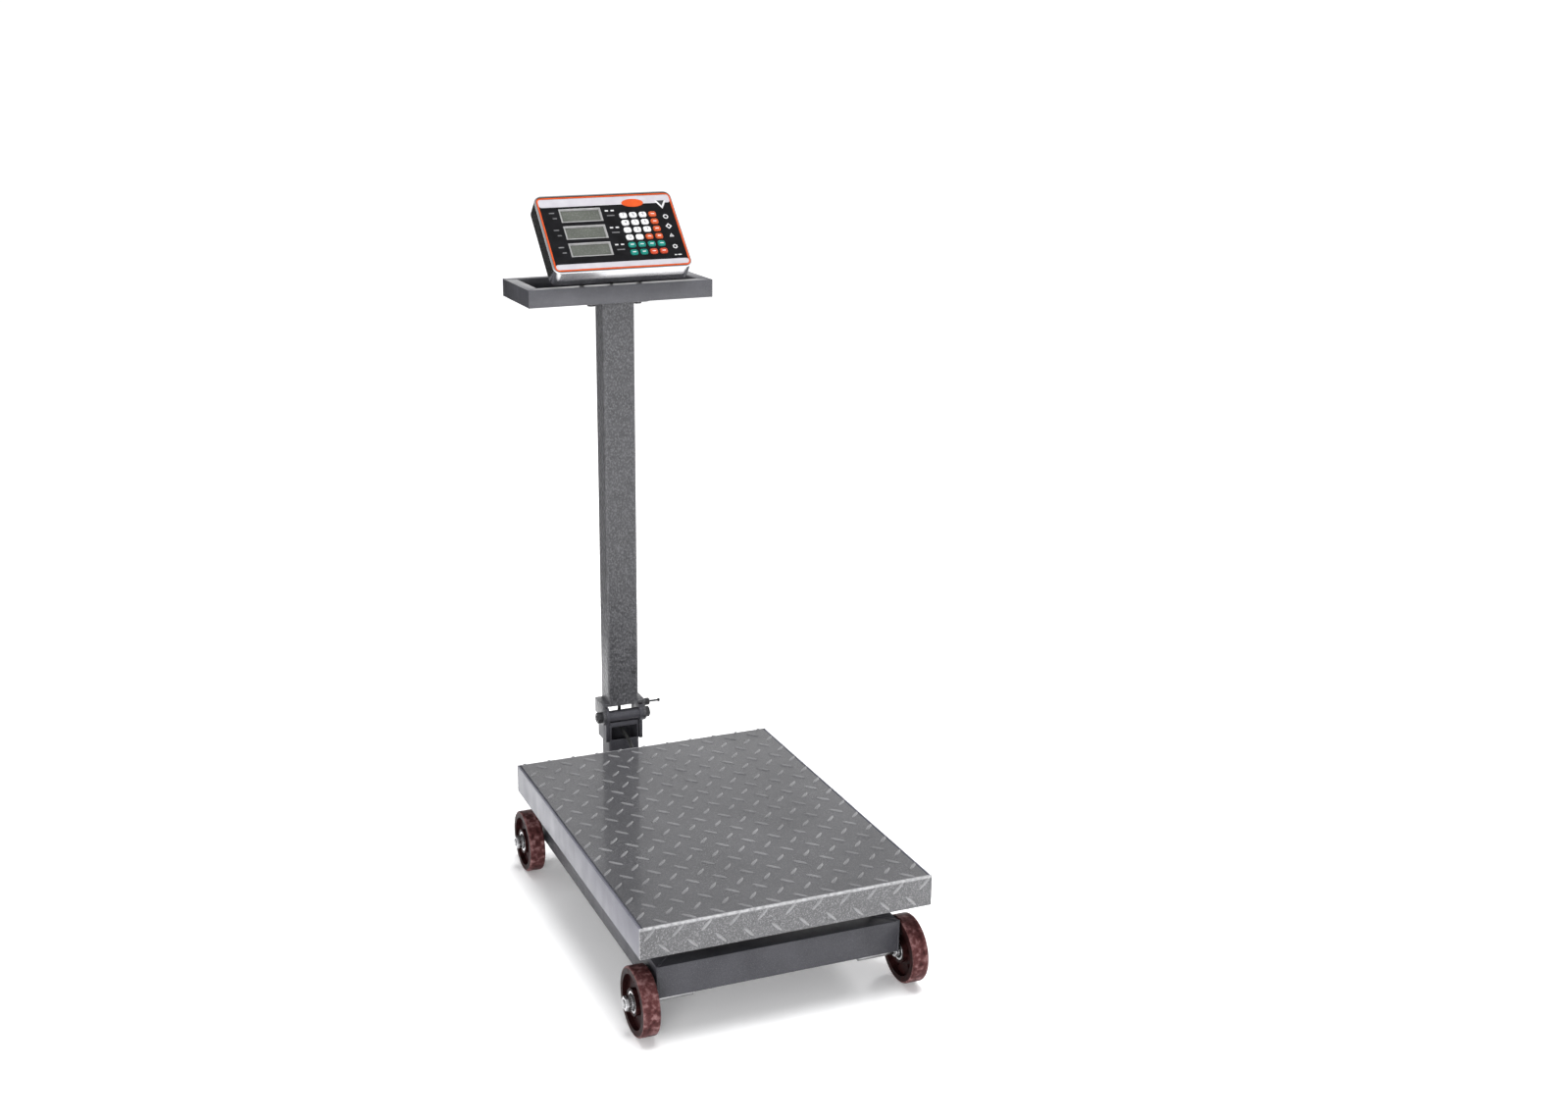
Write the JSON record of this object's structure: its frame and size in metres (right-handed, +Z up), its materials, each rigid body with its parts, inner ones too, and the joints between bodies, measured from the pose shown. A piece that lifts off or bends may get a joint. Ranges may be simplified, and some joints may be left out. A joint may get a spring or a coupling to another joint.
{
  "type": "platform shipping scale",
  "caption": "Wheeled platform scale with a tear-plate deck, a folding column and a tilting price-computing indicator above a tray.",
  "frame": {"origin": "on the floor, under the middle of the whole object's box", "axes": "+Z up, -Y towards the person in front of the platform, +X to that person's right"},
  "size_m": [0.4712, 0.8414, 1.1007],
  "materials": {
    "rail_paint": "smooth slate-grey paint",
    "column_paint": "embossed grey hammer paint",
    "deck_paint": "semi-gloss grey paint over tear plate",
    "skirt_paint": "smooth lavender-grey paint",
    "tray_paint": "smooth grey paint",
    "tray_floor_paint": "dark grey paint",
    "bright_steel": "bright zinc plate",
    "bearing_steel": "ground steel",
    "black_steel": "black oxide",
    "wheel_resin": "red-brown phenolic resin",
    "cell_aluminium": "machined",
    "pad_rubber": "matte",
    "cable_jacket": "matte black",
    "case_stainless": "polished stainless steel",
    "panel_print": "printed film, black with silver bands",
    "display_grey": "grey-green display behind clear film",
    "board_green": "solder mask",
    "switch_black": "moulded",
    "key_white": "domed key",
    "key_orange": "domed key",
    "key_teal": "domed key",
    "key_red": "domed key"
  },
  "bodies": {
    "base": {"base_rails": "rail_paint", "spine_beams": "rail_paint", "base_post": "column_paint", "hinge_knuckle": "column_paint", "hinge_bolt": "black_steel", "axle_rods": "bright_steel", "axle_nuts": "bright_steel", "wheel_bearings": "bearing_steel", "load_cell": "cell_aluminium", "load_cell_spacers": "bright_steel", "load_frame": "rail_paint", "frame_pads": "pad_rubber", "overload_stops": "bright_steel", "signal_cable_base": "cable_jacket"},
    "deck": {"deck_plate": "deck_paint", "side_skirts": "skirt_paint"},
    "column": {"column_bracket": "column_paint", "column_tube": "column_paint", "plunger_housing": "black_steel", "tray_frame": "tray_paint", "tray_floor": "tray_floor_paint", "indicator_yoke": "black_steel", "tray_bolts": "black_steel", "signal_cable_column": "cable_jacket"},
    "lock_pin": {"lock_pin": "black_steel"},
    "indicator": {"indicator_case": "case_stainless", "indicator_back": "case_stainless", "face_panel": "panel_print", "display_glass": "display_grey", "circuit_board": "board_green", "tilt_screws": "bright_steel"},
    "power_switch": {"power_switch": "switch_black"},
    "wheel_front_left": {"wheel_front_left": "wheel_resin"},
    "wheel_front_right": {"wheel_front_right": "wheel_resin"},
    "wheel_rear_left": {"wheel_rear_left": "wheel_resin"},
    "wheel_rear_right": {"wheel_rear_right": "wheel_resin"},
    "key_row1_col1": {"key_row1_col1": "key_white"},
    "key_row1_col2": {"key_row1_col2": "key_white"},
    "key_row1_col3": {"key_row1_col3": "key_white"},
    "key_row1_col4": {"key_row1_col4": "key_orange"},
    "key_row2_col1": {"key_row2_col1": "key_white"},
    "key_row2_col2": {"key_row2_col2": "key_white"},
    "key_row2_col3": {"key_row2_col3": "key_white"},
    "key_row2_col4": {"key_row2_col4": "key_orange"},
    "key_row3_col1": {"key_row3_col1": "key_white"},
    "key_row3_col2": {"key_row3_col2": "key_white"},
    "key_row3_col3": {"key_row3_col3": "key_white"},
    "key_row3_col4": {"key_row3_col4": "key_orange"},
    "key_row4_col1": {"key_row4_col1": "key_white"},
    "key_row4_col2": {"key_row4_col2": "key_white"},
    "key_row4_col3": {"key_row4_col3": "key_orange"},
    "key_row4_col4": {"key_row4_col4": "key_orange"},
    "key_row5_col1": {"key_row5_col1": "key_teal"},
    "key_row5_col2": {"key_row5_col2": "key_teal"},
    "key_row5_col3": {"key_row5_col3": "key_teal"},
    "key_row5_col4": {"key_row5_col4": "key_teal"},
    "key_row6_col1": {"key_row6_col1": "key_teal"},
    "key_row6_col2": {"key_row6_col2": "key_teal"},
    "key_row6_col3": {"key_row6_col3": "key_red"},
    "key_row6_col4": {"key_row6_col4": "key_red"}
  },
  "joints": [
    {"name": "deck_lift", "type": "slide", "parent": "base", "child": "deck", "axis": [0, 0, -1], "range_m": [-0.2, 0]},
    {"name": "wheel_front_left_roll", "type": "hinge", "parent": "base", "child": "wheel_front_left", "pos_m": [-0.2095, -0.36975, 0.051], "axis": [1, 0, 0], "continuous": true},
    {"name": "wheel_front_right_roll", "type": "hinge", "parent": "base", "child": "wheel_front_right", "pos_m": [0.2095, -0.36975, 0.051], "axis": [1, 0, 0], "continuous": true},
    {"name": "wheel_rear_left_roll", "type": "hinge", "parent": "base", "child": "wheel_rear_left", "pos_m": [-0.2095, 0.17925, 0.051], "axis": [1, 0, 0], "continuous": true},
    {"name": "wheel_rear_right_roll", "type": "hinge", "parent": "base", "child": "wheel_rear_right", "pos_m": [0.2095, 0.17925, 0.051], "axis": [1, 0, 0], "continuous": true},
    {"name": "column_fold", "type": "hinge", "parent": "base", "child": "column", "pos_m": [0, 0.29425, 0.205], "axis": [1, 0, 0], "range_deg": [0, 90]},
    {"name": "lock_pin_slide", "type": "slide", "parent": "column", "child": "lock_pin", "axis": [1, 0, 0], "range_m": [-0.008, 0]},
    {"name": "indicator_tilt", "type": "hinge", "parent": "column", "child": "indicator", "pos_m": [0, 0.32644, 1.00308], "axis": [1, 0, 0], "range_deg": [-25, 2]},
    {"name": "power_switch_rock", "type": "hinge", "parent": "indicator", "child": "power_switch", "pos_m": [0.116, 0.29285, 1.00697], "axis": [0, -0.7071, 0.7071], "range_deg": [0, 14]},
    {"name": "key_row1_col1_press", "type": "slide", "parent": "indicator", "child": "key_row1_col1", "axis": [0, 0.7071, -0.7071], "range_m": [0, 0.0012], "stiffness_N_per_m": 400, "springref_m": -0.002},
    {"name": "key_row1_col2_press", "type": "slide", "parent": "indicator", "child": "key_row1_col2", "axis": [0, 0.7071, -0.7071], "range_m": [0, 0.0012], "stiffness_N_per_m": 400, "springref_m": -0.002},
    {"name": "key_row1_col3_press", "type": "slide", "parent": "indicator", "child": "key_row1_col3", "axis": [0, 0.7071, -0.7071], "range_m": [0, 0.0012], "stiffness_N_per_m": 400, "springref_m": -0.002},
    {"name": "key_row1_col4_press", "type": "slide", "parent": "indicator", "child": "key_row1_col4", "axis": [0, 0.7071, -0.7071], "range_m": [0, 0.0012], "stiffness_N_per_m": 400, "springref_m": -0.002},
    {"name": "key_row2_col1_press", "type": "slide", "parent": "indicator", "child": "key_row2_col1", "axis": [0, 0.7071, -0.7071], "range_m": [0, 0.0012], "stiffness_N_per_m": 400, "springref_m": -0.002},
    {"name": "key_row2_col2_press", "type": "slide", "parent": "indicator", "child": "key_row2_col2", "axis": [0, 0.7071, -0.7071], "range_m": [0, 0.0012], "stiffness_N_per_m": 400, "springref_m": -0.002},
    {"name": "key_row2_col3_press", "type": "slide", "parent": "indicator", "child": "key_row2_col3", "axis": [0, 0.7071, -0.7071], "range_m": [0, 0.0012], "stiffness_N_per_m": 400, "springref_m": -0.002},
    {"name": "key_row2_col4_press", "type": "slide", "parent": "indicator", "child": "key_row2_col4", "axis": [0, 0.7071, -0.7071], "range_m": [0, 0.0012], "stiffness_N_per_m": 400, "springref_m": -0.002},
    {"name": "key_row3_col1_press", "type": "slide", "parent": "indicator", "child": "key_row3_col1", "axis": [0, 0.7071, -0.7071], "range_m": [0, 0.0012], "stiffness_N_per_m": 400, "springref_m": -0.002},
    {"name": "key_row3_col2_press", "type": "slide", "parent": "indicator", "child": "key_row3_col2", "axis": [0, 0.7071, -0.7071], "range_m": [0, 0.0012], "stiffness_N_per_m": 400, "springref_m": -0.002},
    {"name": "key_row3_col3_press", "type": "slide", "parent": "indicator", "child": "key_row3_col3", "axis": [0, 0.7071, -0.7071], "range_m": [0, 0.0012], "stiffness_N_per_m": 400, "springref_m": -0.002},
    {"name": "key_row3_col4_press", "type": "slide", "parent": "indicator", "child": "key_row3_col4", "axis": [0, 0.7071, -0.7071], "range_m": [0, 0.0012], "stiffness_N_per_m": 400, "springref_m": -0.002},
    {"name": "key_row4_col1_press", "type": "slide", "parent": "indicator", "child": "key_row4_col1", "axis": [0, 0.7071, -0.7071], "range_m": [0, 0.0012], "stiffness_N_per_m": 400, "springref_m": -0.002},
    {"name": "key_row4_col2_press", "type": "slide", "parent": "indicator", "child": "key_row4_col2", "axis": [0, 0.7071, -0.7071], "range_m": [0, 0.0012], "stiffness_N_per_m": 400, "springref_m": -0.002},
    {"name": "key_row4_col3_press", "type": "slide", "parent": "indicator", "child": "key_row4_col3", "axis": [0, 0.7071, -0.7071], "range_m": [0, 0.0012], "stiffness_N_per_m": 400, "springref_m": -0.002},
    {"name": "key_row4_col4_press", "type": "slide", "parent": "indicator", "child": "key_row4_col4", "axis": [0, 0.7071, -0.7071], "range_m": [0, 0.0012], "stiffness_N_per_m": 400, "springref_m": -0.002},
    {"name": "key_row5_col1_press", "type": "slide", "parent": "indicator", "child": "key_row5_col1", "axis": [0, 0.7071, -0.7071], "range_m": [0, 0.0012], "stiffness_N_per_m": 400, "springref_m": -0.002},
    {"name": "key_row5_col2_press", "type": "slide", "parent": "indicator", "child": "key_row5_col2", "axis": [0, 0.7071, -0.7071], "range_m": [0, 0.0012], "stiffness_N_per_m": 400, "springref_m": -0.002},
    {"name": "key_row5_col3_press", "type": "slide", "parent": "indicator", "child": "key_row5_col3", "axis": [0, 0.7071, -0.7071], "range_m": [0, 0.0012], "stiffness_N_per_m": 400, "springref_m": -0.002},
    {"name": "key_row5_col4_press", "type": "slide", "parent": "indicator", "child": "key_row5_col4", "axis": [0, 0.7071, -0.7071], "range_m": [0, 0.0012], "stiffness_N_per_m": 400, "springref_m": -0.002},
    {"name": "key_row6_col1_press", "type": "slide", "parent": "indicator", "child": "key_row6_col1", "axis": [0, 0.7071, -0.7071], "range_m": [0, 0.0012], "stiffness_N_per_m": 400, "springref_m": -0.002},
    {"name": "key_row6_col2_press", "type": "slide", "parent": "indicator", "child": "key_row6_col2", "axis": [0, 0.7071, -0.7071], "range_m": [0, 0.0012], "stiffness_N_per_m": 400, "springref_m": -0.002},
    {"name": "key_row6_col3_press", "type": "slide", "parent": "indicator", "child": "key_row6_col3", "axis": [0, 0.7071, -0.7071], "range_m": [0, 0.0012], "stiffness_N_per_m": 400, "springref_m": -0.002},
    {"name": "key_row6_col4_press", "type": "slide", "parent": "indicator", "child": "key_row6_col4", "axis": [0, 0.7071, -0.7071], "range_m": [0, 0.0012], "stiffness_N_per_m": 400, "springref_m": -0.002}
  ]
}
